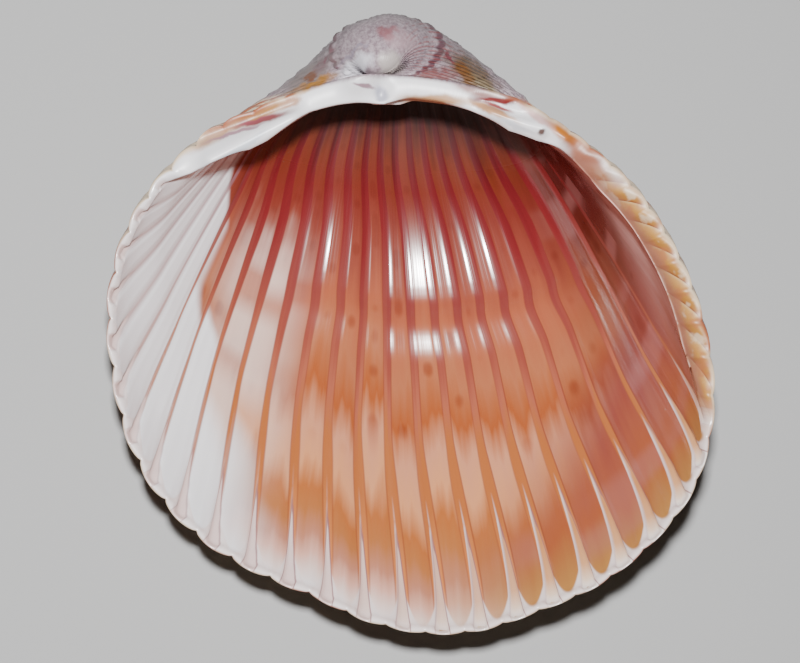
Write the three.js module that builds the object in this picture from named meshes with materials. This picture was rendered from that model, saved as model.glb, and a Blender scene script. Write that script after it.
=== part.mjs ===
import * as THREE from 'three';

// Right valve of a large cockle: one grown piece, lying on its back with the hollow side up.
// Sizes are in millimetres. The valve is drawn in its own frame first, with the plane of the
// free edge at z = 0, +X to the hind end, +Y to the hinge and +Z out of the hollow, and the
// point under the beak at the origin. Then it is tipped into the pose in which it lies still.

// Ribs that run from the beak to the free edge
const ribCount = 42;
const columnsPerRib = 4;
const ribHeight = 1.15;
const ribHeightAtEdge = 0.45;
const ribEdgeReach = 0.12;
const ribRoundness = 0.6;
const ribMiddle = 0.6;
const hingeColumns = 16;

// Ribs rise over the first few of them, and the last few are lower
const firstRibs = [-1, 3];
const lastRibs = [ribCount - 9, ribCount];
const lastRibLoss = 0.6;

// The coil: every section is the edge, shrunk and turned about the hinge axis
const coilRate = 0.735;
const coilDepth = 3;
const outerTurn = THREE.MathUtils.degToRad(258);
const beakRounding = THREE.MathUtils.degToRad(33);
const innerTurn = THREE.MathUtils.degToRad(166);
const outerRows = 14;
const innerRows = 10;
const rowCrowding = 1.25;

// Younger sections are wider for their height than the edge is, up to where the beak narrows,
// and the sides of the umbo lean a little to the hind end
const widening = 0.46;
const wideningReach = 0.72;
const beakNarrowing = 0.8;
const narrowingTurns = [THREE.MathUtils.degToRad(60), THREE.MathUtils.degToRad(150)];
const hindLean = 0.8;
const leanTurns = [60, 95, 110, 160].map(THREE.MathUtils.degToRad);

// The wall, which is thicker in the depth of the hollow
const wallThickness = 2.6;
const edgeThickness = 1.2;
const wallReach = 0.38;
const wallBulge = 1.8;
const bulgeRise = [0.35, 1.05];
const bulgeFall = [1.2, 2];
const bulgeFirstRibs = [11, 18];
const bulgeLastRibs = [20, 27];

// Away from the hinge the rim slopes down into the hollow, most of all at its wide hind margin
const rimSlope = 0.8;
const rimSlopeWidths = [edgeThickness, 2.6];
const rimSlopeReach = 0.05;
const hindMarginWidth = 2.4;
const hindMarginSlope = 2.8;
const hindMarginRise = [27.6, 30.5];
const hindMarginFall = [36, 39.5];

// Notches and raised fingers along the free edge, which the hinge has none of
const notchDepth = 0.75;
const notchLength = 0.3;
const innerGrooveDepth = 0.18;
const firstNotches = [2.5, 7];
const lastNotches = [29, 38];
const edgeWave = 0.5;
const edgeWaveMiddle = 0.5;
const edgeWaveReach = 0.05;
const edgeCrown = 0.25;
const rimRows = 3;

// The pose at rest, and how far the crests that it lies on are worn flat
const restPitch = THREE.MathUtils.degToRad(10);
const restRoll = THREE.MathUtils.degToRad(-8);
const crestWear = 0.35;

// The free edge, from the front end of the hinge round to its hind end
const freeEdge = [
  [-13.6, -3.0], [-18.3, -5.1], [-23.3, -7.4], [-28.3, -11.6], [-32.9, -16.8],
  [-36.8, -24.1], [-38.6, -33.1], [-38.0, -42.0], [-36.0, -51.0], [-32.0, -59.0],
  [-25.4, -66.0], [-18.0, -70.6], [-9.6, -74.2], [-1.9, -77.7], [6.7, -79.6],
  [14.5, -79.2], [23.1, -76.4], [31.7, -72.6], [39.2, -66.7], [44.8, -59.6],
  [47.4, -52.1], [48.0, -44.0], [46.4, -34.6], [43.0, -25.8], [37.4, -16.9],
  [31.0, -10.6], [24.2, -5.6], [18.1, -2.6],
];

// The hinge line, from the hind end back to the front end
const hingeLine = [[8.0, -0.3], [0, 0.2], [-7.0, -0.8]];

// The middle of a section, towards which the wall has its thickness
const sectionCentre = new THREE.Vector2(2, -38);

// Steps in which the outline is measured
const outlineSteps = 1200;

// The share of the free edge that lies before every sixth groove between ribs
const grooveShares = [0, 0.1325, 0.3104, 0.4724, 0.6212, 0.7815, 0.9012, 1];

// How wide the rim is at places along the hinge, from front to hind: [x, width]
const plateWidths = [
  [-31, edgeThickness], [-28.5, 3.0], [-25, 4.3], [-21.5, 5.2], [-18.4, 4.9], [-15, 4.2], [-11, 3.3],
  [-6.4, 3.4], [-3.5, 3.6], [0.5, 4.2], [4.9, 3.0], [9.3, 3.0], [14.2, 3.5], [21, 4.6],
  [25, 3.9], [28, 2.7], [33, 1.6], [40, edgeThickness],
];

// Teeth and sockets of the hinge: a ridge between two points, its half width, its height at
// either end, and a height below zero for a socket
const teeth = [
  { name: 'front lateral tooth', from: [-12, -6.2], to: [-23.6, -12.2], half: 1.7, rise: [0.6, 2.4] },
  { name: 'front lateral socket', from: [-12, -4.2], to: [-25.5, -8.9], half: 0.9, rise: [-0.5, -1] },
  { name: 'cardinal tooth', from: [-3.2, -0.6], to: [-1.2, 0.4], half: 1.7, rise: [1.6, 2.2] },
  { name: 'cardinal socket', from: [0.4, -2.6], to: [0.5, -1.6], half: 1.0, rise: [-0.9, -0.9] },
  { name: 'hind lateral tooth', from: [16, -5.2], to: [23.2, -7.9], half: 1.0, rise: [0.8, 1.7] },
  { name: 'hind lateral socket', from: [14.6, -3.5], to: [22, -5.6], half: 0.8, rise: [-0.8, -0.8] },
  { name: 'hind outer ridge', from: [19.5, -4], to: [26.6, -8.9], half: 1.0, rise: [0.5, 1.1] },
];

function curveThrough(values, place) {
  const last = values.length - 1;
  const span = Math.min(Math.floor(place), last - 1);
  const t = place - span;
  const before = span > 0 ? values[span - 1] : 2 * values[0] - values[1];
  const after = span + 2 <= last ? values[span + 2] : 2 * values[last] - values[last - 1];
  const here = values[span];
  const next = values[span + 1];
  return here + 0.5 * t * (next - before
    + t * (2 * before - 5 * here + 4 * next - after + t * (3 * (here - next) + after - before)));
}

function valueAt(pairs, place) {
  const next = pairs.findIndex(([x]) => x >= place);
  if (next === 0) return pairs[0][1];
  if (next < 0) return pairs.at(-1)[1];
  const [fromX, from] = pairs[next - 1];
  const [toX, to] = pairs[next];
  return THREE.MathUtils.mapLinear(place, fromX, toX, from, to);
}

// Points of the closed outline at given shares of the length between two of its knots
function outlinePoints(firstKnot, lastKnot, shares) {
  const knots = [...freeEdge, ...hingeLine].map(([x, y]) => new THREE.Vector3(x, y, 0));
  const outline = new THREE.CatmullRomCurve3(knots, true, 'centripetal');
  const trail = [];
  const lengths = [0];
  for (let i = 0; i <= outlineSteps; i++) {
    const knot = THREE.MathUtils.mapLinear(i, 0, outlineSteps, firstKnot, lastKnot);
    trail.push(outline.getPoint(knot / knots.length));
    if (i > 0) lengths.push(lengths[i - 1] + trail[i].distanceTo(trail[i - 1]));
  }
  return shares.map((share) => {
    const wanted = share * lengths.at(-1);
    const i = Math.max(1, lengths.findIndex((length) => length >= wanted));
    const part = (wanted - lengths[i - 1]) / (lengths[i] - lengths[i - 1]);
    return new THREE.Vector2().lerpVectors(trail[i - 1], trail[i], part);
  });
}

// 1 from the end of the rise to the start of the fall, and 0 beyond both
function hump(place, rise, fall) {
  return THREE.MathUtils.smoothstep(place, ...rise) * (1 - THREE.MathUtils.smoothstep(place, ...fall));
}

// A column runs from the hollow's deepest point, over the rim, to the tip of the beak. It knows
// its place on the edge, how far it stands between two grooves, how strong its rib and its notch
// are, and how much it has of the hind margin and of the bulge in the depth.
function makeColumns() {
  const ribbed = ribCount * columnsPerRib;
  const ribs = Array.from({ length: ribbed }, (_, i) => i / columnsPerRib);
  const grooveStep = ribCount / (grooveShares.length - 1);
  const shares = ribs.map((rib) => {
    const groove = Math.floor(rib);
    const start = curveThrough(grooveShares, groove / grooveStep);
    const end = curveThrough(grooveShares, (groove + 1) / grooveStep);
    return THREE.MathUtils.lerp(start, end, rib - groove);
  });
  const edge = outlinePoints(0, freeEdge.length - 1, shares);
  const hingeShares = Array.from({ length: hingeColumns }, (_, i) => i / hingeColumns);
  const hinge = outlinePoints(freeEdge.length - 1, freeEdge.length + hingeLine.length, hingeShares);
  const ribColumns = edge.map((point, i) => {
    const rib = ribs[i];
    const ribStrength = THREE.MathUtils.smoothstep(rib, ...firstRibs)
      * (1 - lastRibLoss * THREE.MathUtils.smoothstep(rib, ...lastRibs));
    const notchStrength = hump(rib, firstNotches, lastNotches);
    const hindMargin = hump(rib, hindMarginRise, hindMarginFall);
    const bulge = hump(rib, bulgeFirstRibs, bulgeLastRibs);
    return { point, phase: rib - Math.floor(rib), ribStrength, notchStrength, hindMargin, bulge };
  });
  const plain = { phase: 0, ribStrength: 0, notchStrength: 0, hindMargin: 0, bulge: 0 };
  const plainColumns = hinge.map((point) => ({ point, ...plain }));
  return [...ribColumns, ...plainColumns].map((column) => {
    const onHinge = column.point.y > sectionCentre.y;
    const plateWidth = onHinge ? valueAt(plateWidths, column.point.x) : edgeThickness;
    return { ...column, rimWidth: plateWidth + hindMarginWidth * column.hindMargin };
  });
}

// How much wider a section is than the edge, for its height
function sectionWidth(turn) {
  const narrowing = beakNarrowing * THREE.MathUtils.smoothstep(turn, ...narrowingTurns);
  return 1 + widening * (1 - Math.exp(-turn / wideningReach)) * (1 - narrowing);
}

function sectionLean(turn) {
  const [start, full, easing, end] = leanTurns;
  const rise = THREE.MathUtils.smoothstep(turn, start, full);
  return hindLean * rise * (1 - THREE.MathUtils.smoothstep(turn, easing, end));
}

// A point of the coil, moved outward from its section's middle, both at the scale of the edge
function coilPoint(column, turn, outward) {
  const fromCentre = column.point.clone().sub(sectionCentre);
  const { x, y } = fromCentre.setLength(fromCentre.length() + outward).add(sectionCentre);
  const shrink = Math.exp(-coilRate * turn);
  return new THREE.Vector3(
    x * shrink * sectionWidth(turn) + sectionLean(turn),
    (y * Math.cos(turn) - coilDepth * Math.sin(turn)) * shrink,
    (y * Math.sin(turn) + coilDepth * Math.cos(turn)) * shrink - coilDepth,
  );
}

function ribCrest(column) {
  return Math.sin(Math.PI * column.phase) ** ribRoundness;
}

function edgeLift(column, turn) {
  const fade = Math.exp(-turn / edgeWaveReach);
  return edgeWave * column.notchStrength * (edgeWaveMiddle - ribCrest(column)) * fade;
}

function innerDrop(column, turn) {
  const thinness = 1 - THREE.MathUtils.smoothstep(column.rimWidth, ...rimSlopeWidths);
  const drop = THREE.MathUtils.lerp(rimSlope * thinness, hindMarginSlope, column.hindMargin);
  return drop * Math.exp(-turn / rimSlopeReach);
}

function outerPoint(column, turn) {
  const height = THREE.MathUtils.lerp(
    ribHeightAtEdge,
    ribHeight,
    THREE.MathUtils.smoothstep(turn, 0, ribEdgeReach),
  );
  const relief = height * column.ribStrength * (ribCrest(column) - ribMiddle);
  const pastRounding = Math.max(0, (turn - outerTurn) / beakRounding + 1);
  const closing = 1 - Math.sqrt(1 - Math.min(1, pastRounding) ** 2);
  const radius = column.point.distanceTo(sectionCentre);
  const point = coilPoint(column, turn, relief - closing * radius);
  point.z += edgeLift(column, turn);
  return point;
}

function innerPoint(column, turn) {
  const toWall = THREE.MathUtils.smoothstep(turn, 0, wallReach);
  const thickness = THREE.MathUtils.lerp(column.rimWidth, wallThickness, toWall)
    + wallBulge * column.bulge * hump(turn, bulgeRise, bulgeFall);
  const notch = notchDepth * Math.max(0, 1 - turn / notchLength) + innerGrooveDepth;
  const relief = notch * column.notchStrength * (column.phase === 0.5 ? 1 : 0);
  const point = coilPoint(column, turn, relief - thickness * Math.exp(coilRate * turn));
  point.z += edgeLift(column, turn) - innerDrop(column, turn);
  return point;
}

// How high the teeth stand at a place on the hinge plate
function toothHeight(place) {
  let height = 0;
  for (const tooth of teeth) {
    const from = new THREE.Vector2(...tooth.from);
    const along = new THREE.Vector2(...tooth.to).sub(from);
    const share = THREE.MathUtils.clamp(place.clone().sub(from).dot(along) / along.lengthSq(), 0, 1);
    const gap = place.distanceTo(from.addScaledVector(along, share)) / tooth.half;
    const rise = THREE.MathUtils.lerp(tooth.rise[0], tooth.rise[1], share);
    height += rise * Math.exp(-gap * gap);
  }
  return height;
}

function rimPoint(column, share) {
  const point = innerPoint(column, 0).lerp(outerPoint(column, 0), share);
  point.z += edgeCrown * Math.sin(Math.PI * share);
  point.z += toothHeight(new THREE.Vector2(point.x, point.y));
  return point;
}

function middleOf(ring) {
  const sum = ring.reduce((total, point) => total.add(point), new THREE.Vector3());
  return sum.divideScalar(ring.length);
}

// Rings of points from the hollow's deepest point, over the rim, to the tip of the beak
function makeRings(columns) {
  const rings = [];
  for (let row = innerRows; row >= 1; row--) {
    const turn = innerTurn * (row / innerRows) ** rowCrowding;
    rings.push(columns.map((column) => innerPoint(column, turn)));
  }
  for (let row = 0; row <= rimRows; row++) {
    rings.push(columns.map((column) => rimPoint(column, row / rimRows)));
  }
  for (let row = 1; row < outerRows; row++) {
    const turn = outerTurn * (row / outerRows) ** rowCrowding;
    rings.push(columns.map((column) => outerPoint(column, turn)));
  }
  return rings;
}

function makeValveGeometry() {
  const rings = makeRings(makeColumns());
  const around = rings[0].length;
  const points = [middleOf(rings[0]), ...rings.flat(), middleOf(rings.at(-1))];
  const faces = [];
  const at = (ring, column) => 1 + ring * around + (column % around);
  for (let column = 0; column < around; column++) {
    faces.push(0, at(0, column), at(0, column + 1));
    for (let ring = 0; ring < rings.length - 1; ring++) {
      faces.push(at(ring, column), at(ring + 1, column), at(ring + 1, column + 1));
      faces.push(at(ring, column), at(ring + 1, column + 1), at(ring, column + 1));
    }
    faces.push(points.length - 1, at(rings.length - 1, column + 1), at(rings.length - 1, column));
  }
  const geometry = new THREE.BufferGeometry().setFromPoints(points);
  geometry.setIndex(faces);
  return geometry;
}

// Tips the valve into the pose in which it lies still, and wears its lowest crests flat
function layOnBack(geometry) {
  const tip = new THREE.Matrix4().makeRotationFromEuler(new THREE.Euler(restPitch, restRoll, 0));
  geometry.applyMatrix4(tip);
  geometry.computeBoundingBox();
  const floor = geometry.boundingBox.min.z + crestWear;
  const position = geometry.getAttribute('position');
  for (let i = 0; i < position.count; i++) {
    position.setZ(i, Math.max(position.getZ(i), floor));
  }
  geometry.computeBoundingBox();
  const middle = geometry.boundingBox.getCenter(new THREE.Vector3());
  geometry.translate(-middle.x, -middle.y, -floor);
  geometry.computeVertexNormals();
}

const shellMaterial = new THREE.MeshStandardMaterial({ color: 0xc07a58, roughness: 0.3, metalness: 0 });
const valveGeometry = makeValveGeometry();
layOnBack(valveGeometry);
const valve = new THREE.Mesh(valveGeometry, shellMaterial);
valve.name = 'valve';

const cockleShell = new THREE.Group();
cockleShell.add(valve);

export default cockleShell;
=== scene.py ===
from functools import partial
from math import exp, pi, radians, sqrt

import bpy
from mathutils import Euler, Matrix, Vector


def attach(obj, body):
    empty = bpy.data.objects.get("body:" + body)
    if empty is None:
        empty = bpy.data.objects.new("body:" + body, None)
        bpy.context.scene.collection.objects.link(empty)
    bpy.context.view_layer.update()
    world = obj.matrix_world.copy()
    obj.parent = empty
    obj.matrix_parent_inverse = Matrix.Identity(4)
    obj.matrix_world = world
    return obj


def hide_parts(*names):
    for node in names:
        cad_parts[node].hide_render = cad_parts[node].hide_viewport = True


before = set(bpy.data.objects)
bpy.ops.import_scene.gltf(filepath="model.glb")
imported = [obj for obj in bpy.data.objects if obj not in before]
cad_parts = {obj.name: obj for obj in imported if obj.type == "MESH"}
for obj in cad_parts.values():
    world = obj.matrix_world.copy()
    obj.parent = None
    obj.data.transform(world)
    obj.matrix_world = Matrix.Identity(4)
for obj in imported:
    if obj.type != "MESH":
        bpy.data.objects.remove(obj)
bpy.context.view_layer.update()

mm = 0.001


def linear(hexColour):  # sRGB hex to the linear colour that the shaders use
    channels = [int(hexColour[i:i + 2], 16) / 255 for i in (1, 3, 5)]
    return [c / 12.92 if c <= 0.04045 else ((c + 0.055) / 1.055) ** 2.4 for c in channels] + [1]


smooth = {"interpolation_type": "SMOOTHSTEP"}  # settings that many nodes share
ofColour = {"out": 2, "data_type": "RGBA"}


# A new node, of a ShaderNode kind where the name doesn't start with Geometry; gives its output socket
def addNode(tree, kind, links=(), operation=None, out=0, stops=(), **settings):
    node = tree.nodes.new(kind if kind.startswith("Geometry") else "ShaderNode" + kind)
    if operation:
        node.operation = operation
    for name, value in settings.items():
        setattr(node, name, value)
    for i, (place, hexColour) in enumerate(stops):  # of a colour ramp
        stop = node.color_ramp.elements[i] if i < 2 else node.color_ramp.elements.new(place)
        stop.position, stop.color = place, linear(hexColour)
    for place, value in links.items() if isinstance(links, dict) else enumerate(links):
        if isinstance(value, bpy.types.NodeSocket):
            tree.links.new(value, node.inputs[place])
        elif value is not None:
            node.inputs[place].default_value = value
    return node.outputs[out]


# The valve's own frame, in mm: the plane of the free edge is z = 0, +X is the hind end, +Y the
# hinge, +Z out of the hollow, and the origin is under the beak.
valveSize = {
    "ribs": 42,
    "columnsPerRib": 14,
    "hingeColumns": 44,
    "innerRows": 58,
    "rimRows": 10,
    "outerRows": 78,
    "rowCrowding": 1.3,
    "outerTurn": radians(258),
    "innerTurns": [(0, 0), (12, 0.1), (24, 0.55), (44, 0.8), (52, 1.4), (58, radians(166))],
    "beakRounding": radians(33),
    "deepRounding": radians(25),
    "widening": 0.46,
    "wideningReach": 0.72,
    "beakNarrowing": 0.8,
    "narrowingTurns": (radians(60), radians(150)),
    "hindLean": 0.8,
    "leanTurns": [radians(turn) for turn in (60, 95, 110, 160)],
    "edgeThickness": 1.2,
    "hindMarginWidth": 2.4,
    "restPitch": radians(10),
    "restRoll": radians(-8),
    "crestWear": 0.35,
}
growth = {  # the named inputs of the tree
    "coil rate": 0.735,
    "coil depth": 3.0,
    "rib height": 1.15,
    "rib roundness": 0.6,
    "rib middle": 0.6,
    "wall thickness": 2.6,
    "wall bulge": 1.8,
    "wall reach": 0.38,
    "rib height at the edge": 0.45,
    "front rib height at the edge": 0.8,
    "wedge depth": 0.7,
    "front wedge length": 0.2,
    "hind wedge length": 0.26,
    "front wedge half width": 0.12,
    "hind wedge half width": 0.15,
    "wedge flare": 0.05,
    "wedge flare reach": 0.03,
    "groove depth": 0.16,
    "growth ledge": 1.5,
    "edge bevel": 0.8,
    "hind margin slope": 2.8,
    "lobe height": 0.25,
    "lobe sweep": 1.1,
    "lobe reach": 8,
    "edge wave": 0.5,
    "edge wave reach": 0.05,
    "edge crown": 0.25,
    "tooth reach": 0.04,
    "growth ripple": 0.22,
    "ripple rate": 9,
    "bead spacing": 0.15,
    "bead height": 1.0,
    "cap age": 2.46,
    "cap rim height": 3.0,
}

# The free edge, from the front end of the hinge round to its hind end, then the hinge line back
freeEdge = [
    (-13.6, -3.0), (-18.3, -5.1), (-23.3, -7.4), (-28.3, -11.6), (-32.9, -16.8),
    (-36.8, -24.1), (-38.6, -33.1), (-38.0, -42.0), (-36.0, -51.0), (-32.0, -59.0),
    (-25.4, -66.0), (-18.0, -70.6), (-9.6, -74.2), (-1.9, -77.7), (6.7, -79.6),
    (14.5, -79.2), (23.1, -76.4), (31.7, -72.6), (39.2, -66.7), (44.8, -59.6),
    (47.4, -52.1), (48.0, -44.0), (46.4, -34.6), (43.0, -25.8), (37.4, -16.9),
    (31.0, -10.6), (24.2, -5.6), (18.1, -2.6),
]
hingeLine = [(8.0, -0.3), (0.0, 0.2), (-7.0, -0.8)]
sectionCentre = (2.0, -38.0, 0.0)

# Over which ribs a feature of the edge comes in, over which it goes again, and how far it goes
edgeFeatures = {
    "strength": (-1, 3, 33, 42, 0.6),
    "wave strength": (2.5, 7, 29, 38, 1),
    "inner strength": (2.5, 7, 27.6, 29.2, 1),
    "hind margin": (27.6, 30.5, 36, 39.5, 1),
    "middle": (11, 18, 20, 27, 1),
}

# The share of the free edge that lies before every sixth groove between ribs
grooveShares = [0, 0.1325, 0.3104, 0.4724, 0.6212, 0.7815, 0.9012, 1]

# How wide the rim is at places along the hinge, from front to hind: (x, width)
plateWidths = [
    (-31, 1.2), (-28.5, 3.0), (-25, 4.3), (-21.5, 5.2), (-18.4, 4.9), (-15, 4.2), (-11, 3.3),
    (-6.4, 3.4), (-3.5, 3.6), (0.5, 4.2), (4.9, 3.0), (9.3, 3.0), (14.2, 3.5), (21, 4.6),
    (25, 3.9), (28, 2.7), (33, 1.6), (40, 1.2),
]

# Teeth and sockets: a ridge between two points, its half width and its height (below 0: a socket)
teeth = {
    "front lateral tooth": ((-12, -6.2), (-23.6, -12.2), 1.7, 1.9),
    "front lateral socket": ((-12, -4.2), (-25.5, -8.9), 0.9, -0.9),
    "cardinal tooth": ((-3.2, -0.6), (-1.2, 0.4), 1.7, 2.0),
    "cardinal socket": ((0.4, -2.6), (0.5, -1.6), 1.0, -0.9),
    "hind lateral tooth": ((16, -5.2), (23.2, -7.9), 1.0, 1.4),
    "hind lateral socket": ((14.6, -3.5), (22, -5.6), 0.8, -0.8),
    "hind outer ridge": ((19.5, -4), (26.6, -8.9), 1.0, 0.8),
}


def smoothRise(place, start, end):
    share = min(1, max(0, (place - start) / (end - start)))
    return share * share * (3 - 2 * share)


def valueAt(pairs, place):  # straight lines between the pairs, level beyond their ends
    if place <= pairs[0][0]:
        return pairs[0][1]
    for (fromPlace, fromValue), (toPlace, toValue) in zip(pairs, pairs[1:]):
        if place <= toPlace:
            return fromValue + (toValue - fromValue) * (place - fromPlace) / (toPlace - fromPlace)
    return pairs[-1][1]


def curveThrough(values, place):  # a smooth curve through evenly placed values
    span = min(int(place), len(values) - 2)
    t = place - span
    here, there = values[span], values[span + 1]
    before = values[span - 1] if span > 0 else 2 * here - there
    after = values[span + 2] if span + 2 < len(values) else 2 * there - here
    return here + 0.5 * t * (there - before + t * (2 * before - 5 * here + 4 * there - after
                                                   + t * (3 * (here - there) + after - before)))


def outlinePoint(knots, place):  # a centripetal curve through a closed ring of knots
    first = int(place)
    t = place - first
    a, b, c, d = (knots[(first + step) % len(knots)] for step in (-1, 0, 1, 2))
    ab, bc, cd = ((q - p).length ** 0.5 for p, q in ((a, b), (b, c), (c, d)))
    leaving = ((b - a) / ab - (c - a) / (ab + bc) + (c - b) / bc) * bc
    arriving = ((c - b) / bc - (d - b) / (bc + cd) + (d - c) / cd) * bc
    return b + t * (leaving + t * (3 * (c - b) - 2 * leaving - arriving
                                   + t * (2 * (b - c) + leaving + arriving)))


def outlinePoints(firstKnot, lastKnot, shares):  # points at shares of the length between two knots
    knots = [Vector(xy) for xy in freeEdge + hingeLine]
    steps = 1200
    trail = [outlinePoint(knots, firstKnot + (lastKnot - firstKnot) * i / steps) for i in range(steps + 1)]
    lengths = [0]
    for before, after in zip(trail, trail[1:]):
        lengths.append(lengths[-1] + (after - before).length)
    points, i = [], 1
    for share in shares:
        while lengths[i] < share * lengths[-1]:
            i += 1
        part = (share * lengths[-1] - lengths[i - 1]) / (lengths[i] - lengths[i - 1])
        points.append(trail[i - 1].lerp(trail[i], part))
    return points


def pointsMesh(name, points, values):  # loose points, with named values on each
    mesh = bpy.data.meshes.new(name)
    mesh.from_pydata([(*point, 0)[:3] for point in points], [], [])
    for label, column in values.items():
        mesh.attributes.new(label, "FLOAT", "POINT").data.foreach_set("value", column)
    return mesh


def makeMargin(size):  # a point for each column of the valve: where it is on the edge, and its rib
    perRib, ribs, hinge = size["columnsPerRib"], size["ribs"], size["hingeColumns"]
    places = [i / perRib for i in range(ribs * perRib)]
    grooveStep = ribs / (len(grooveShares) - 1)
    shares = []
    for place in places:
        start, end = (curveThrough(grooveShares, (int(place) + k) / grooveStep) for k in (0, 1))
        shares.append(start + (end - start) * (place - int(place)))
    lastKnot = len(freeEdge) - 1
    points = outlinePoints(0, lastKnot, shares)
    points += outlinePoints(lastKnot, lastKnot + 1 + len(hingeLine), [i / hinge for i in range(hinge)])
    strengths = {}
    for name, (start, full, easing, end, fall) in edgeFeatures.items():
        rises = [smoothRise(p, start, full) for p in places]
        left = [1 - fall * smoothRise(p, easing, end) for p in places]
        strengths[name] = [rise * part for rise, part in zip(rises, left)]
        strengths[name] += [0] * hinge
    places += [ribs * (1 - i / hinge) for i in range(hinge)]
    width = [valueAt(plateWidths, x) if y > sectionCentre[1] else size["edgeThickness"] for x, y in points]
    width = [w + size["hindMarginWidth"] * m for w, m in zip(width, strengths["hind margin"])]
    return pointsMesh("margin", points, {"rib": places, "rim width": width, **strengths})


def makeAges(size):  # a point for each row, from the hollow's end over the rim to the beak's tip
    inner, rim, outer = size["innerRows"], size["rimRows"], size["outerRows"]
    ages = {name: [] for name in ("turn", "share", "width", "lean", "closing")}
    for row in range(-1, inner + rim + outer + 1):
        outside = min(1, max(0, (row - inner - rim) / outer))
        if row < inner:
            turn = valueAt(size["innerTurns"], inner - row)
            rounding = max(0, 1 - (size["innerTurns"][-1][1] - turn) / size["deepRounding"])
        else:
            turn = size["outerTurn"] * outside ** size["rowCrowding"]
            rounding = max(0, 1 - (size["outerTurn"] - turn) / size["beakRounding"])
        narrowing = size["beakNarrowing"] * smoothRise(turn, *size["narrowingTurns"])
        widening = size["widening"] * (1 - exp(-turn / size["wideningReach"]))
        start, full, easing, end = size["leanTurns"]
        leaning = size["hindLean"] * smoothRise(turn, start, full)
        ages["turn"].append(turn)
        ages["share"].append(min(1, max(0, (row - inner) / rim)))
        ages["width"].append(1 + widening * (1 - narrowing))
        ages["lean"].append(leaning * (1 - smoothRise(turn, easing, end)))
        ages["closing"].append(1 - sqrt(1 - min(1, rounding) ** 2))
    return pointsMesh("ages", [(row, 0) for row in range(len(ages["turn"]))], ages)


# Where each value of growTree starts and stops changing, in turns of the coil (radians) or in ribs,
# and then its values there where they aren't 0 and 1
growthSpans = {
    "lowEdge": (13, 19),
    "atEdge": (0, 0.12),
    "ripples": (0.3, 0.7, -0.5, 0.5),
    "onUmbo": (0.9, 2.2, 0),
    "nearRim": (0.16, 0.02),
    "wear": (-1.5, -0.5, 1, 0.2),
    "early": (0, 0.45, 0.06, 0.45),
    "late": (0.9, 1.25, 0, 0.42),
    "frontEase": (6, 13),
    "hindEase": (30, 24),
    "wedgeLength": (17, 27),
    "wedgeEnd": (13, 26),
    "wedge": (-0.02, 0.06, 0),
    "groove": (0.27, 0.13, 0),
    "ledgeUp": (0.585, 0.675, 0),
    "ledgeDown": (0.675, 0.76, 0),
    "ledgeStart": (13, 17),
    "ledgeEnd": (28, 23),
    "swelling": (0.35, 1.05, 0),
    "easing": (1.2, 2.0, 1, 0),
    "thinRim": (2.6, 1.2, 0),
    "lobeFade": (1.5, 0.8),
    "lobeFront": (0, 0.45),
    "lobeBack": (0.45, 1, 1, 0),
}

# What the tree stores on the valve's points for its colours
grownValues = ("rib", "turn", "share", "inner strength", "groove", "wedge", "tip gap", "lobe", "lobed")


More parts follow.
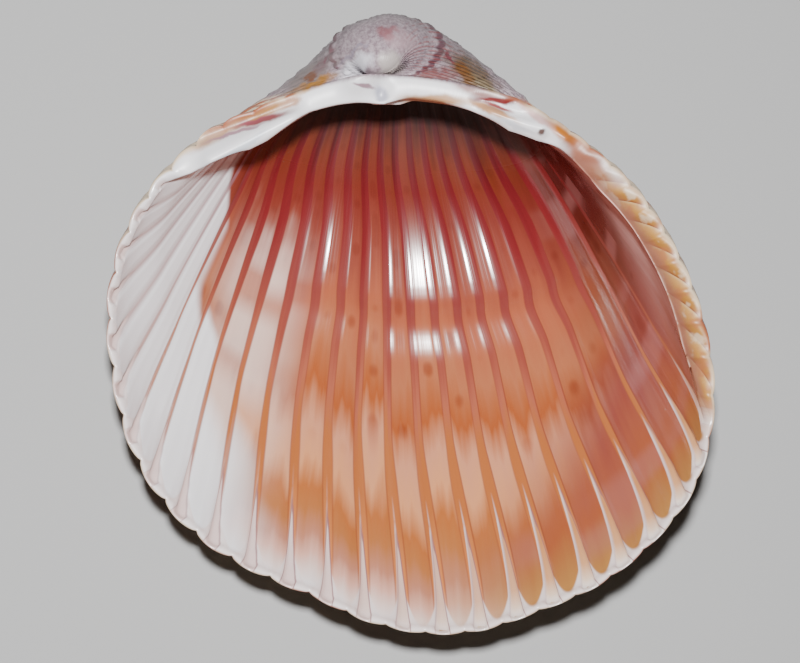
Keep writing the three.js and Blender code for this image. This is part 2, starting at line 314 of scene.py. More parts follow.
def growTree(agesObject):  # Geometry Nodes: every ring of the valve is its margin, shrunk and turned
    tree = bpy.data.node_groups.new("grow a valve", "GeometryNodeTree")
    spans = growthSpans
    tree.interface.new_socket("margin", in_out="INPUT", socket_type="NodeSocketGeometry")
    for name in growth:
        tree.interface.new_socket(name, in_out="INPUT", socket_type="NodeSocketFloat")
    tree.interface.new_socket("finish", in_out="INPUT", socket_type="NodeSocketMaterial")
    tree.interface.new_socket("valve", in_out="OUTPUT", socket_type="NodeSocketGeometry")
    add = partial(addNode, tree)
    given = tree.nodes.new("NodeGroupInput").outputs
    ages = add("GeometryNodeObjectInfo", [agesObject], out="Geometry")

    # one point of the grid for each column and row, closed at both poles
    columns = add("GeometryNodeAttributeDomainSize", [given["margin"]])
    rows = add("GeometryNodeAttributeDomainSize", [ages])
    sides = add("Math", [rows, 3], "SUBTRACT")
    grid = add("GeometryNodeMeshCylinder", {"Vertices": columns, "Side Segments": sides},
               fill_type="TRIANGLE_FAN")
    number = add("Math", [add("GeometryNodeInputIndex"), 1], "SUBTRACT")
    column = add("Math", [number, columns], "FLOORED_MODULO")
    ring = add("Math", [add("Math", [number, columns], "DIVIDE")], "FLOOR")
    row = add("Math", [ring, 1], "ADD")
    known = {}
    for name in ("rib", "rim width", *edgeFeatures):
        value = add("GeometryNodeInputNamedAttribute", [name], data_type="FLOAT")
        known[name] = add("GeometryNodeSampleIndex", [given["margin"], value, column], data_type="FLOAT")
    for name in ("turn", "share", "width", "lean", "closing"):
        value = add("GeometryNodeInputNamedAttribute", [name], data_type="FLOAT")
        known[name] = add("GeometryNodeSampleIndex", [ages, value, row], data_type="FLOAT")
    place = add("GeometryNodeInputPosition")
    margin = add("GeometryNodeSampleIndex", [given["margin"], place, column], data_type="FLOAT_VECTOR")
    turn, share, strength = known["turn"], known["share"], known["strength"]
    shrunk = add("Math", [turn, given["coil rate"]], "MULTIPLY")
    shrink = add("Math", [exp(-1), shrunk], "POWER")

    # ribs: round backs with narrow grooves between them
    phase = add("Math", [known["rib"]], "FRACT")
    arch = add("Math", [add("Math", [phase, pi], "MULTIPLY")], "SINE")
    crest = add("Math", [arch, given["rib roundness"]], "POWER")
    aboveMiddle = add("Math", [crest, given["rib middle"]], "SUBTRACT")
    lowEdge = add("MapRange", [known["rib"], *spans["lowEdge"], given["front rib height at the edge"],
                               given["rib height at the edge"]])
    atEdge = add("MapRange", [turn, *spans["atEdge"], lowEdge, given["rib height"]], **smooth)
    ribs = add("Math", [aboveMiddle, atEdge], "MULTIPLY")

    # growth: ripples across the ribs, and beads on the crests of the umbo
    age = add("Math", [turn, given["ripple rate"]], "MULTIPLY")
    ripple = add("TexNoise", {"W": age, "Scale": 1, "Detail": 2}, noise_dimensions="1D")
    ripples = add("MapRange", [ripple, *spans["ripples"]])
    rippling = add("Math", [ripples, given["growth ripple"]], "MULTIPLY")
    beat = add("Math", [turn, 2 * pi], "MULTIPLY")
    beat = add("Math", [beat, given["bead spacing"]], "DIVIDE")
    beads = add("Math", [add("Math", [beat], "SINE"), crest], "MULTIPLY")
    onUmbo = add("MapRange", [turn, *spans["onUmbo"], given["bead height"]], **smooth)
    beading = add("Math", [beads, onUmbo], "MULTIPLY")
    fromRim = add("Math", [turn, given["cap age"]], "SUBTRACT")
    rimGap = add("Math", [fromRim], "ABSOLUTE")
    nearRim = add("MapRange", [rimGap, *spans["nearRim"]], **smooth)
    knobBeat = add("Math", [known["rib"], pi / 2], "MULTIPLY")
    knobs = add("Math", [add("Math", [knobBeat], "SINE")], "ABSOLUTE")
    knobs = add("Math", [knobs, nearRim], "MULTIPLY")
    knobs = add("Math", [knobs, given["cap rim height"]], "MULTIPLY")
    wear = add("MapRange", [fromRim, *spans["wear"]], **smooth)
    ribs = add("Math", [ribs, wear], "MULTIPLY")
    rippling = add("Math", [rippling, knobs], "ADD")
    rippling = add("Math", [rippling, beading], "ADD")
    outerRelief = add("Math", [ribs, rippling], "ADD")

    # inside: a shallow groove under each rib, which opens into a sunk wedge at the edge; in the
    # depth the grooves drift forward of the ribs
    early = add("MapRange", [turn, *spans["early"]], **smooth)
    late = add("MapRange", [turn, *spans["late"]], **smooth)
    drift = add("Math", [early, late], "ADD")
    frontEase = add("MapRange", [known["rib"], *spans["frontEase"]], **smooth)
    hindEase = add("MapRange", [known["rib"], *spans["hindEase"]], **smooth)
    eased = add("Math", [frontEase, hindEase], "MULTIPLY")
    eased = add("Math", [drift, eased], "MULTIPLY")
    known["groove"] = add("Math", [known["rib"], eased], "ADD")
    innerPhase = add("Math", [known["groove"]], "FRACT")
    offCrest = add("Math", [innerPhase, 0.5], "SUBTRACT")
    fromCrest = add("Math", [offCrest], "ABSOLUTE")
    wedgeLength = add("MapRange", [known["rib"], *spans["wedgeLength"], given["front wedge length"],
                                   given["hind wedge length"]])
    known["tip gap"] = add("Math", [turn, wedgeLength], "SUBTRACT")
    opening = add("MapRange", [turn, 0, wedgeLength, 1, 0])
    wedgeEnd = add("MapRange", [known["rib"], *spans["wedgeEnd"], given["front wedge half width"],
                                given["hind wedge half width"]])
    spread = add("Math", [opening, 0.9], "POWER")
    flareAge = add("Math", [turn, given["wedge flare reach"]], "DIVIDE")
    flareFade = add("Math", [exp(-1), flareAge], "POWER")
    flare = add("Math", [flareFade, given["wedge flare"]], "MULTIPLY")
    wedgeHalf = add("Math", [spread, wedgeEnd, flare], "MULTIPLY_ADD")
    known["wedge"] = add("Math", [wedgeHalf, fromCrest], "SUBTRACT")
    wedge = add("MapRange", [known["wedge"], *spans["wedge"], given["wedge depth"]], **smooth)
    shallowing = add("Math", [opening, 0.5], "POWER")
    sunk = add("Math", [wedge, shallowing], "MULTIPLY")
    groove = add("MapRange", [fromCrest, *spans["groove"], given["groove depth"]], **smooth)
    furrows = add("Math", [sunk, groove], "ADD")
    furrows = add("Math", [furrows, known["inner strength"]], "MULTIPLY")
    ledgeUp = add("MapRange", [turn, *spans["ledgeUp"], given["growth ledge"]], **smooth)
    ledgeDown = add("MapRange", [turn, *spans["ledgeDown"], given["growth ledge"]], **smooth)
    ledge = add("Math", [ledgeDown, ledgeUp], "SUBTRACT")
    ledgeStart = add("MapRange", [known["rib"], *spans["ledgeStart"]], **smooth)
    ledgeEnd = add("MapRange", [known["rib"], *spans["ledgeEnd"]], **smooth)
    ledgeRibs = add("Math", [ledgeStart, ledgeEnd], "MULTIPLY")
    ledge = add("Math", [ledge, ledgeRibs], "MULTIPLY")
    innerRelief = add("Math", [furrows, ledge], "ADD")

    toWall = add("MapRange", [turn, 0, given["wall reach"], known["rim width"], given["wall thickness"]],
                 **smooth)
    swelling = add("MapRange", [turn, *spans["swelling"], given["wall bulge"]], **smooth)
    easing = add("MapRange", [turn, *spans["easing"]], **smooth)
    bulge = add("Math", [swelling, easing], "MULTIPLY")
    toWall = add("Math", [bulge, known["middle"], toWall], "MULTIPLY_ADD")
    thickness = add("Math", [toWall, shrink], "DIVIDE")

    # out from the middle of the ring, then round the hinge axis as the ring shrinks
    outerRelief = add("Math", [outerRelief, strength], "MULTIPLY")
    relief = add("Mix", {0: share, 2: innerRelief, 3: outerRelief})
    inset = add("Mix", {0: share, 2: thickness, 3: 0.0})
    outward = add("Math", [relief, inset], "SUBTRACT")
    spoke = add("VectorMath", [margin, sectionCentre], "SUBTRACT")
    radius = add("VectorMath", [spoke], "LENGTH", out="Value")
    closed = add("Math", [radius, known["closing"]], "MULTIPLY")
    reach = add("Math", [radius, outward], "ADD")
    reach = add("Math", [reach, closed], "SUBTRACT")
    spokeUnit = add("VectorMath", [spoke], "NORMALIZE")
    spokeEnd = add("VectorMath", {0: spokeUnit, "Scale": reach}, "SCALE")
    ringPoint = add("VectorMath", [spokeEnd, sectionCentre], "ADD")
    wide = add("CombineXYZ", [known["width"], 1, 1])
    sized = add("VectorMath", [ringPoint, wide], "MULTIPLY")
    sunkCentre = add("CombineXYZ", [0, 0, given["coil depth"]])
    lowered = add("VectorMath", [sized, sunkCentre], "ADD")
    turned = add("VectorRotate", {"Vector": lowered, "Angle": turn}, rotation_type="X_AXIS")
    small = add("VectorMath", {0: turned, "Scale": shrink}, "SCALE")
    raised = add("VectorMath", [small, sunkCentre], "SUBTRACT")
    leaning = add("CombineXYZ", [known["lean"], 0, 0])
    coiled = add("VectorMath", [raised, leaning], "ADD")

    # the edge waves up between the ribs, and the rim is crowned
    waveAge = add("Math", [turn, given["edge wave reach"]], "DIVIDE")
    waveFade = add("Math", [exp(-1), waveAge], "POWER")
    wave = add("Math", [0.5, crest], "SUBTRACT")
    wave = add("Math", [wave, given["edge wave"]], "MULTIPLY")
    wave = add("Math", [wave, waveFade], "MULTIPLY")
    lift = add("Math", [wave, known["wave strength"]], "MULTIPLY")
    acrossRim = add("Math", [add("Math", [share, pi], "MULTIPLY")], "SINE")
    height = add("Math", [acrossRim, given["edge crown"], lift], "MULTIPLY_ADD")

    # away from the hinge the rim slopes down into the hollow, most of all at the hind end, where it
    # is laid down in lobes that overlap like scales
    thinRim = add("MapRange", [known["rim width"], *spans["thinRim"], given["edge bevel"]], **smooth)
    thinRim = add("Mix", {0: known["hind margin"], 2: thinRim, 3: given["hind margin slope"]})
    inner = add("Math", [1, share], "SUBTRACT")
    inwards = add("Math", [inner, 2], "POWER")
    sloping = add("Math", [thinRim, inwards], "MULTIPLY")
    sloping = add("Math", [sloping, waveFade], "MULTIPLY")
    height = add("Math", [height, sloping], "SUBTRACT")
    into = add("Math", [turn, given["lobe reach"], inner], "MULTIPLY_ADD")
    onOutside = add("Math", [share, 0.999], "GREATER_THAN")
    into = add("Mix", {0: onOutside, 2: into, 3: 0.0})
    swept = add("Math", [into, given["lobe sweep"]], "MULTIPLY")
    known["lobe"] = add("Math", [known["rib"], swept], "SUBTRACT")
    lobePhase = add("Math", [known["lobe"]], "FRACT")
    lobeFade = add("MapRange", [into, *spans["lobeFade"]], **smooth)
    known["lobed"] = add("Math", [lobeFade, known["hind margin"]], "MULTIPLY")
    lobeFront = add("MapRange", [lobePhase, *spans["lobeFront"]], **smooth)
    lobeBack = add("MapRange", [lobePhase, *spans["lobeBack"]], **smooth)
    lobeShape = add("Math", [lobeFront, lobeBack], "MULTIPLY")
    lobeShape = add("Math", [lobeShape, known["lobed"]], "MULTIPLY")
    lobeRise = add("Math", [lobeShape, given["lobe height"]], "MULTIPLY")
    height = add("Math", [height, lobeRise], "ADD")

    # hinge teeth: soft ridges along lines on the plate
    toothAge = add("Math", [turn, given["tooth reach"]], "DIVIDE")
    toothFade = add("Math", [exp(-1), toothAge], "POWER")
    onPlate = add("VectorMath", [coiled, (1, 1, 0)], "MULTIPLY")
    for (startX, startY), (endX, endY), half, rise in teeth.values():
        line = add("GeometryNodeMeshLine", {"Count": 2, "Start Location": (startX, startY, 0),
                                            "Offset": (endX, endY, 0)}, mode="END_POINTS")
        gap = add("GeometryNodeProximity", {0: line, "Sample Position": onPlate}, out="Distance",
                  target_element="EDGES")
        gap = add("Math", [gap, half], "DIVIDE")
        gap = add("Math", [gap, 2], "POWER")
        bell = add("Math", [exp(-1), gap], "POWER")
        tooth = add("Math", [bell, toothFade], "MULTIPLY")
        height = add("Math", [tooth, rise, height], "MULTIPLY_ADD")
    lifted = add("CombineXYZ", [0, 0, height])
    valvePlace = add("VectorMath", [coiled, lifted], "ADD")

    shape = add("GeometryNodeSetPosition", {"Geometry": grid, "Position": valvePlace})
    for name in grownValues:
        stored = {"Geometry": shape, "Name": name, "Value": known[name]}
        shape = add("GeometryNodeStoreNamedAttribute", stored, data_type="FLOAT", domain="POINT")
    shape = add("GeometryNodeStoreNamedAttribute", {"Geometry": shape, "Name": "place", "Value": place},
                data_type="FLOAT_VECTOR", domain="POINT")
    shape = add("GeometryNodeSetShadeSmooth", [shape])
    shape = add("GeometryNodeRealizeInstances", [shape])
    shape = add("GeometryNodeSetMaterial", {"Geometry": shape, "Material": given["finish"]})
    tree.links.new(shape, tree.nodes.new("NodeGroupOutput").inputs["valve"])
    return tree


def growValve(finish):
    ages = bpy.data.objects.new("ages", makeAges(valveSize))
    seed = bpy.data.objects.new("seed", makeMargin(valveSize))
    for helper in (ages, seed):
        bpy.context.collection.objects.link(helper)
    tree = growTree(ages)
    modifier = seed.modifiers.new("grow", "NODES")
    modifier.node_group = tree
    sockets = tree.interface.items_tree
    for name, value in growth.items():
        modifier[sockets[name].identifier] = value
    modifier[sockets["finish"].identifier] = finish
    evaluated = seed.evaluated_get(bpy.context.evaluated_depsgraph_get())
    mesh = bpy.data.meshes.new_from_object(evaluated)
    for helper in (ages, seed):
        bpy.data.objects.remove(helper)
    return mesh


def layOnBack(mesh, size):  # tips the valve into its pose at rest, and wears its lowest crests flat
    tip = Euler((size["restPitch"], 0, 0)).to_matrix() @ Euler((0, size["restRoll"], 0)).to_matrix()
    mesh.transform(tip.to_4x4())
    lowest = [min(v.co[i] for v in mesh.vertices) for i in range(3)]
    highest = [max(v.co[i] for v in mesh.vertices) for i in range(3)]
    floor = lowest[2] + size["crestWear"]
    for vertex in mesh.vertices:
        vertex.co.z = max(vertex.co.z, floor)
    middle = Vector((-(lowest[0] + highest[0]) / 2, -(lowest[1] + highest[1]) / 2, -floor))
    lay = Matrix.Scale(mm, 4) @ Matrix.Translation(middle)
    mesh.transform(lay)
    return lay @ tip.to_4x4()  # from the valve's own frame to the shared one


# The colours follow the animal's growth: in the hollow, bands between the ribs and stripes under
# them change with age, which is the turn of the coil from the free edge, in radians.
shellFinish = {
    "age span": 1.6,
    # the last, near black stops of the bands and the stripes, deep under the hinge plate, are painted shade
    # of the hollow there
    "bands": {0: "#e4dcdc", 0.03: "#e3cbc3", 0.07: "#d4a18f", 0.11: "#b2775f", 0.17: "#a66638",
              0.22: "#a65f30", 0.29: "#c8885f", 0.38: "#c08364", 0.47: "#994e28", 0.58: "#a26041",
              0.72: "#9d5339", 0.86: "#843f31", 1.05: "#702b22", 1.25: "#642818", 1.5: "#200606"},
    "hind bands": {0: "#c9ab8c", 0.012: "#bd9562", 0.05: "#a9783f", 0.1: "#a06a3a", 0.18: "#944d2e",
                   0.27: "#8d4834", 0.38: "#7f3a32", 0.5: "#70322c", 0.65: "#5c291f", 0.85: "#490f0b",
                   1.1: "#3d0b0b"},
    "stripes": {0: "#dcb29b", 0.1: "#c37744", 0.25: "#a66033", 0.38: "#a35d31", 0.5: "#9c5540",
                0.62: "#884135", 0.78: "#7b3531", 0.95: "#702123", 1.2: "#5e161a", 1.5: "#1c0305"},
    "wedges": {0: "#e4dad4", 0.02: "#dcbfa6", 0.055: "#c8946a", 0.14: "#b97c4c", 0.25: "#c08a60"},
    "front white": "#e6e5e8",
    "front line": "#a08089",
    "front wedge": "#d6beba",
    "wedge's painted shadow line": "#84565a",
    "shade at the stripe's edge": "#6e2c24",
    "spot": "#b0654f",
    "spot spacing": (7.3, 13, 0),
    "spot roundness": -2,
    "tip roundness": -0.4,
    "tip over the rim": -0.024,
    "flank slant": -0.045,
    "front slant": 8,
    "hind slant": -6,
    "raggedness": 3.5,
    "band tip": "#dfd2d0",
    "front stripe": "#b08478",
    # painted light: lighter than the wall's own mauve, to make up for the shade on the steep hind wall
    "hind flank": "#e6bab4",
    "mauve": "#a46c6a",
    "mauve amount": 0.3,
    "pale": "#dcc3b8",
    "palest place": (12.9, 0.55),
    "wedge's painted highlight": "#d6c6c4",
    # dark where each lobe starts and lighter across it: painted shade of the overlapping lobes
    "lobes": {0: "#6e3822", 0.06: "#865022", 0.12: "#9a662a", 0.45: "#a87632", 0.85: "#b28448",
              0.97: "#bd9866"},
    "brown blotch": "#a0603c",
    "cream blotch": "#cdb79c",
    "inner margin": "#8c5a4c",
    "plate": "#e0dee1",
    "plate waver": 1.0,
    "outside": "#d6bfa2",
    "rust": "#96553a",
    "rust spacing": (0.35, 6, 0),
    "cap": "#78666e",
    "light cap": "#a3949a",
    "cap rim": "#55363f",
    "umbo furrow": "#7e3a38",
    "umbo waver": 3.0,
    "IOR": 1.53,
    "hollow roughness": 0.17,
    "plate roughness": 0.38,
    "margin roughness": 0.45,
    "outside roughness": 0.42,
    "striae": {"Strength": 0.12, "Distance": 0.0002},
    "striae spacing": (7, 1, 0),
}

# Marks on the umbo: centre, half length, half width (mm), angle (degrees), colour, strength
umboMarks = {
    "grey front flank": ((-10.5, 0.4), 6.5, 2.6, 42, "#746866", 0.95),
    "yellow lunule": ((-9.4, -0.8), 4.6, 1.0, 22, "#8c6026", 0.95),
    "brown lunule": ((-12.2, -2.0), 2.4, 0.8, 30, "#7c604e", 0.9),
    "mauve front flank": ((-8.0, 2.6), 3.0, 1.0, 50, "#6e585c", 0.8),
    "rusty front flank": ((-10.2, 0.5), 1.5, 0.6, 35, "#66402c", 0.9),
    "brown hind flank": ((13.8, 0.8), 6.5, 3.0, -42, "#544334", 0.95),
    "white left of the beak": ((-3.4, 1.5), 3.4, 1.9, 28, "#cbc8d0", 0.9),
    "grey line": ((-3.8, 3.7), 3.6, 0.35, 33, "#857b88", 0.8),
    "cream beak": ((1.6, 1.9), 2.0, 2.3, -10, "#a9a09b", 0.8),
    "rose blotch": ((1.4, 6.4), 1.7, 1.2, -15, "#7c444a", 0.85),
    "rose haze": ((3.4, 5.2), 3.4, 2.0, -20, "#a58a90", 0.6),
    "streaked hind flank": ((8.4, 0.6), 3.8, 1.2, 5, "#6c403e", 0.8),
    "cap's hind end": ((10.4, 3.6), 1.9, 0.5, -60, "#643038", 0.9),
    "cap's front end": ((-7.4, 3.3), 1.8, 0.4, 60, "#6c4850", 0.85),
    "ochre hind flank": ((12.8, 0.9), 3.0, 1.4, -45, "#5e3c1a", 0.95),
    "olive hind flank": ((15.6, -0.9), 3.2, 1.2, -45, "#64543c", 0.9),
}

# Marks on the hinge plate, in the same terms
hingeMarks = {
    "pale front rim": ((-23.6, -8.4), 6.2, 1.5, 29, "#b38c72", 0.95),
    "yellow front rim": ((-16.8, -5.0), 6.6, 1.6, 26, "#9c6e3a", 1.0),
    "yellow lunule": ((-10.0, -1.6), 4.0, 0.8, 22, "#b8863f", 0.95),
    "brown lunule": ((-12.6, -3.7), 2.2, 1.0, 25, "#a87c60", 0.9),
    "mauve front groove": ((-16.8, -6.3), 5.2, 0.65, 14, "#85454e", 1.0),
    "second front line": ((-20.3, -8.1), 5.4, 0.38, 17, "#9a7482", 0.9),
    # the front tooth's valley, the crease under the cardinal tooth and the socket: painted shade
    "shade along the front tooth": ((-19.3, -10.2), 5.5, 0.6, 32, "#bcc2cb", 0.8),
    "shade under the cardinal tooth": ((-2.0, -1.5), 1.9, 0.35, -8, "#866672", 0.9),
    "shade in the socket": ((0.4, -2.6), 1.6, 1.2, -60, "#8f8fa0", 0.8),
    "peach lower edge": ((8.1, -3.4), 6.4, 1.0, -3, "#a87c52", 0.95),
    "peach hind lower edge": ((16.2, -5.0), 5.0, 0.8, -24, "#b3825a", 0.95),
    "mauve triangle": ((14.1, -1.9), 4.4, 1.6, -18, "#946e6a", 0.95),
    "triangle's tip": ((11.4, -0.8), 1.6, 0.5, -20, "#7d5654", 0.9),
    "red hind groove": ((17.2, -3.5), 4.6, 0.6, -3, "#6c1f1f", 1.0),
    "second hind groove": ((17.2, -4.5), 2.8, 0.4, -20, "#8a3a36", 0.95),
    "orange end of the groove": ((21.2, -4.0), 1.5, 0.6, -10, "#b06a3c", 0.9),
    "pink hind bulge": ((23.2, -6.2), 4.6, 0.8, -36, "#c9a09c", 0.85),
    # the hind tooth's valley: painted shade
    "shade along the hind tooth": ((19.5, -7.1), 3.6, 0.5, -25, "#c4c6cd", 0.8),
    "hind tooth's pit": ((23.3, -8.2), 0.8, 0.6, 0, "#4f342c", 0.95),
    "orange hind rim": ((27.6, -8.6), 6.0, 1.7, -42, "#a8641e", 1.0),
    "brown hind end": ((30.2, -13.2), 6.8, 2.8, -54, "#8c5038", 0.95),
}


def paintMarks(add, place, colour, marks, waver):  # ragged soft ellipses over a colour, seen along Z
    noise = add("TexNoise", {"Vector": place, "Scale": 0.5, "Detail": 3}, out="Color")  # 2 mm
    shift = add("VectorMath", [noise, (0.5, 0.5, 0.5)], "SUBTRACT")
    shift = add("VectorMath", {0: shift, "Scale": waver}, "SCALE")
    place = add("VectorMath", [place, shift], "ADD")
    for centre, long, across, angle, hexColour, amount in marks.values():
        spot = add("Mapping", {"Vector": place, "Location": (*centre, 0),
                               "Rotation": (0, 0, radians(angle)), "Scale": (long, across, 1000)},
                   vector_type="TEXTURE")
        distance = add("VectorMath", [spot], "LENGTH", out="Value")
        mark = add("MapRange", [distance, 1.1, 0.4, 0, amount], **smooth)
        colour = add("Mix", {0: mark, 6: colour, 7: linear(hexColour)}, **ofColour)
    return colour


# The same for the values of makeShellMaterial: in radians, in ribs, in shares of a rib, or in mm of
# height and depth
finishSpans = {
    "drift": (0, 1, -0.035, 0.035),
    "wandering": (0.3, 0.7, -0.05, 0.05),
    "young": (0, 0.3, 0.25, 1),
    "hindTip": (16.5, 22, 0, 0.06),
    "hindStart": (0.05, 0.5, 19.5, 25.5),
    "hind": (-1.5, 3),
    "patchy": (0.5, 0.62),
    "flankRibs": (28, 33),
    "flankAges": (-0.6, -1.1),
    "flankClouds": (0.35, 0.65, 0.7, 1.0),
    "spots": (0.59, 0.74),
    "inBand": (0.24, 0.38),
    "spotAges": (0.3, 0.45, 0, 0.5),
    "deepSpots": (0.65, 0.95, 1, 0.35),
    "deep": (0.45, 0.98, 0.125, 0.225),
    "near": (0.42, 0.28, 0, 0.045),
    "frontSlim": (14, 19, 0.35, 1),
    "hindSlim": (20, 25, 1, 0.4),
    "inStripe": (-0.03, 0.03),
    "border": (0.04, 0.0, 0, 0.6),
    "lightSide": (0.48, 0.52),
    "foreSide": (19, 24, 0.7, 0.3),
    "hindSide": (16, 22, 0.6, 1.0),
    "fromEdge": (0.2, 0.55, 12.9, 10.0),
    "inDepth": (0.78, 1.0, 0, 1.8),
    "whiteSoft": (0.1, 0.5, 2.4, 0.7),
    "paleRibs": (2.6, 0.3, 0, 0.4),
    "paleAges": (0.46, 0.2),
    "palePatches": (0.36, 0.56, 0.5, 1.9),
    "stripeFade": (8.6, 10.4),
    "lineWidth": (0.2, 0.0, 0, 0.75),
    "youngFading": (0.6, 0.2, 0.2, 0.6),
    "sideAges": (0.75, 0.95, 1, 0.25),
    "offWedge": (-0.06, -0.02, 1, 0),
    "tip": (0.0, -0.012, 0, 0.9),
    "inWedge": (-0.015, 0.03),
    "outline": (0.025, 0.004),
    "foreLine": (16, 22, 0.7, 0.2),
    "frontLine": (10, 15, 0.2, 1),
    "paleSide": (-0.055, -0.02),
    "paleEdge": (0.27, 0.2, 0, 0.85),
    "paleSideRibs": (16, 21, 0.2, 1),
    "beforeTip": (0.01, -0.02),
    "tanWedge": (16, 22),
    "brownish": (0.5, 0.66, 0, 0.75),
    "creamy": (0.46, 0.34, 0, 0.7),
    "inMargin": (0.55, 0.05, 0, 0.85),
    "onMargin": (0.05, 0.6),
    "back": (-17, -12),
    "edgeOnly": (0.4, 0.12),
    "atHinge": (-6.5, -4),
    "nearHinge": (-6, -3.5),
    "outside": (0.75, 1.0),
    "rusty": (0.46, 0.58),
    "worn": (1.2, 2.3),
    "mottled": (0.35, 0.65),
    "onRim": (0.08, 0.03, 0, 0.9),
    "inFurrow": (0.2, 0.42, 0, 0.55),
    "streaky": (0.42, 0.55),
    "facingUp": (-22, -15),
    "streaksStart": (3, 6),
    "streaksEnd": (13, 10),
    "beforeHinge": (-3.2, -1.8),
    "deepDullness": (1.1, 1.4, 0, 0.4),
}


def makeShellMaterial():  # aragonite, laid down by the animal and polished by its mantle: porcelain gloss
    material = bpy.data.materials.new("polished cockle shell")
    material.use_nodes = True
    tree = material.node_tree
    add = partial(addNode, tree)
    grown = [add("Attribute", out="Fac", attribute_name=name) for name in grownValues]
    rib, turn, share, strength, groove, wedgeSide, tipGap, lobe, lobed = grown
    place = add("Attribute", out="Vector", attribute_name="place")
    finish = shellFinish
    spans = finishSpans
    span = finish["age span"]

    # where a point is across its rib: 0 under the crest, 0.5 between two ribs
    phase = add("Math", [groove], "FRACT")
    offCrest = add("Math", [phase, 0.5], "SUBTRACT")
    fromCrest = add("Math", [offCrest], "ABSOLUTE")
    fromBand = add("Math", [0.5, fromCrest], "SUBTRACT")
    band = add("Math", [groove], "ROUND")

    # ages at which colours change, a little different from band to band
    chance = add("TexWhiteNoise", {"W": band}, noise_dimensions="1D")
    drift = add("MapRange", [chance, *spans["drift"]])
    onCoil = add("CombineXYZ", [rib, turn, 0])
    wander = add("TexNoise", {"Vector": onCoil, "Scale": 2.1, "Detail": 3})  # clouds half a rib wide
    wandering = add("MapRange", [wander, *spans["wandering"]])
    drifting = add("Math", [drift, wandering], "ADD")
    young = add("MapRange", [turn, *spans["young"]])
    hindTip = add("MapRange", [rib, *spans["hindTip"]])
    older = add("Math", [turn, hindTip], "ADD")
    age = add("Math", [drifting, young, older], "MULTIPLY_ADD")
    agePlace = add("Math", [age, span], "DIVIDE")
    turnPlace = add("Math", [turn, span], "DIVIDE")
    ramps = {}
    for name in ("bands", "hind bands", "stripes", "wedges"):
        where = turnPlace if name == "wedges" else agePlace
        stops = [(at / span, colour) for at, colour in finish[name].items()]
        ramps[name] = add("ValToRGB", [where], stops=stops)

    # hind half: rustier bands with mauve patches
    hindStart = add("MapRange", [turn, *spans["hindStart"]])
    hindward = add("Math", [rib, hindStart], "SUBTRACT")
    hind = add("MapRange", [hindward, *spans["hind"]], **smooth)
    bandColour = add("Mix", {0: hind, 6: ramps["bands"], 7: ramps["hind bands"]}, **ofColour)
    bandPlace = add("CombineXYZ", [band, turn, 3])
    patches = add("TexNoise", {"Vector": bandPlace, "Scale": 5, "Detail": 1})
    patchy = add("MapRange", [patches, *spans["patchy"]], **smooth)
    mauve = add("Math", [patchy, hind], "MULTIPLY")
    mauve = add("Math", [mauve, finish["mauve amount"]], "MULTIPLY")
    bandColour = add("Mix", {0: mauve, 6: bandColour, 7: linear(finish["mauve"])}, **ofColour)

    # the wall inside the hind margin is a plain soft mauve, painted lighter than its own colour: painted
    # light against the shade on this steep wall
    flankRibs = add("MapRange", [rib, *spans["flankRibs"]], **smooth)
    flankAge = add("Math", [rib, finish["flank slant"], turn], "MULTIPLY_ADD")
    flankAges = add("MapRange", [flankAge, *spans["flankAges"]], **smooth)
    flank = add("Math", [flankRibs, flankAges], "MULTIPLY")
    flankClouds = add("MapRange", [wander, *spans["flankClouds"]])
    flank = add("Math", [flank, flankClouds], "MULTIPLY")
    bandColour = add("Mix", {0: flank, 6: bandColour, 7: linear(finish["hind flank"])}, **ofColour)

    # rust spots sit in rows along the bands
    spotPlace = add("CombineXYZ", [band, turn, 0])
    spotPlace = add("VectorMath", [spotPlace, finish["spot spacing"]], "MULTIPLY")
    beat = add("TexNoise", {"Vector": spotPlace, "Scale": 1, "Detail": 0})
    curved = add("Math", [fromBand, fromBand], "MULTIPLY")
    roundness = add("Math", [curved, finish["spot roundness"], beat], "MULTIPLY_ADD")
    spots = add("MapRange", [roundness, *spans["spots"]], **smooth)
    inBand = add("MapRange", [fromCrest, *spans["inBand"]], **smooth)
    spotAges = add("MapRange", [turn, *spans["spotAges"]])
    deepSpots = add("MapRange", [turn, *spans["deepSpots"]])
    spotted = add("Math", [spots, inBand], "MULTIPLY")
    for ages in (spotAges, deepSpots):
        spotted = add("Math", [spotted, ages], "MULTIPLY")
    bandColour = add("Mix", {0: spotted, 6: bandColour, 7: linear(finish["spot"])}, **ofColour,
                     blend_type="MULTIPLY")

    # stripes under the ribs: wide and crimson in the depth, narrow and orange near the edge
    deep = add("MapRange", [turn, *spans["deep"]], **smooth)
    near = add("MapRange", [turn, *spans["near"]], **smooth)
    stripeHalf = add("Math", [deep, near], "ADD")
    fromFront = add("Math", [turn, finish["front slant"], rib], "MULTIPLY_ADD")
    frontSlim = add("MapRange", [fromFront, *spans["frontSlim"]])
    fromHind = add("Math", [turn, finish["hind slant"], rib], "MULTIPLY_ADD")
    hindSlim = add("MapRange", [fromHind, *spans["hindSlim"]])
    for slim in (frontSlim, hindSlim):
        stripeHalf = add("Math", [stripeHalf, slim], "MULTIPLY")
    toStripe = add("Math", [stripeHalf, fromCrest], "SUBTRACT")
    inStripe = add("MapRange", [toStripe, *spans["inStripe"]], **smooth)
    # a dark line along both edges of each stripe: painted shade of the groove's edges, stronger on one side
    # than the other
    fromBorder = add("Math", [toStripe], "ABSOLUTE")
    border = add("MapRange", [fromBorder, *spans["border"]], **smooth)
    lightSide = add("MapRange", [phase, *spans["lightSide"]])
    foreSide = add("MapRange", [rib, *spans["foreSide"]])
    hindSide = add("MapRange", [rib, *spans["hindSide"]])
    sideStrength = add("Mix", {0: lightSide, 2: foreSide, 3: hindSide})
